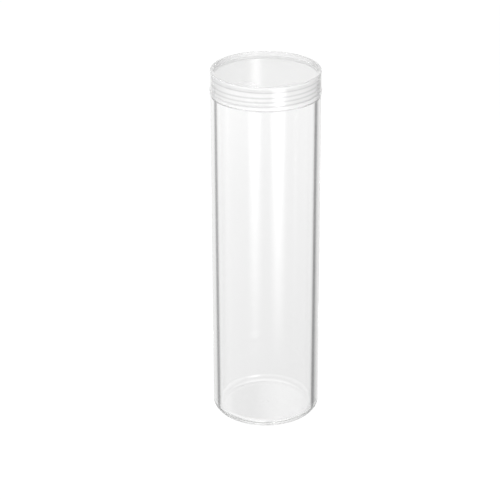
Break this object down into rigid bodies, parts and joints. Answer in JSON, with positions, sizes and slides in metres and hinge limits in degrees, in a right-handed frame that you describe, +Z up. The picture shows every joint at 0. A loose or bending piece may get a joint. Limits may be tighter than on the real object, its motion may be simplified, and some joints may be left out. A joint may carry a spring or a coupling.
{
  "type": "coin tube",
  "caption": "Clear round tube with a closed floor and a milky screw cap, for keeping a stack of coins.",
  "frame": {"origin": "centre of the tube's base, on the surface that it stands on", "axes": "+Z up along the tube's axis, from the base to the cap; -Y faces the camera of the picture"},
  "size_m": [0.0322, 0.0322, 0.108],
  "materials": {
    "clear_plastic": "crystal-clear moulded polystyrene, polished",
    "milky_plastic": "natural, milky and see-through moulded polypropylene, smooth",
    "liner_foam": "thin white closed-cell foam, matt"
  },
  "bodies": {
    "tube": {"tube": "clear_plastic"},
    "cap_liner": {"cap_liner": "liner_foam"},
    "screw_cap": {"screw_cap": "milky_plastic"}
  },
  "joints": [
    {"name": "cap_rise", "type": "slide", "parent": "tube", "child": "cap_liner", "axis": [0, 0, 1], "range_m": [0, 0.00455]},
    {"name": "cap_turn", "type": "hinge", "parent": "cap_liner", "child": "screw_cap", "pos_m": [0, 0, 0.1045], "axis": [0, 0, 1], "range_deg": [0, 1260]}
  ],
  "couplings": [
    {"joint": "cap_rise", "follows": "cap_turn", "m_per_rad": 0.0002069}
  ]
}
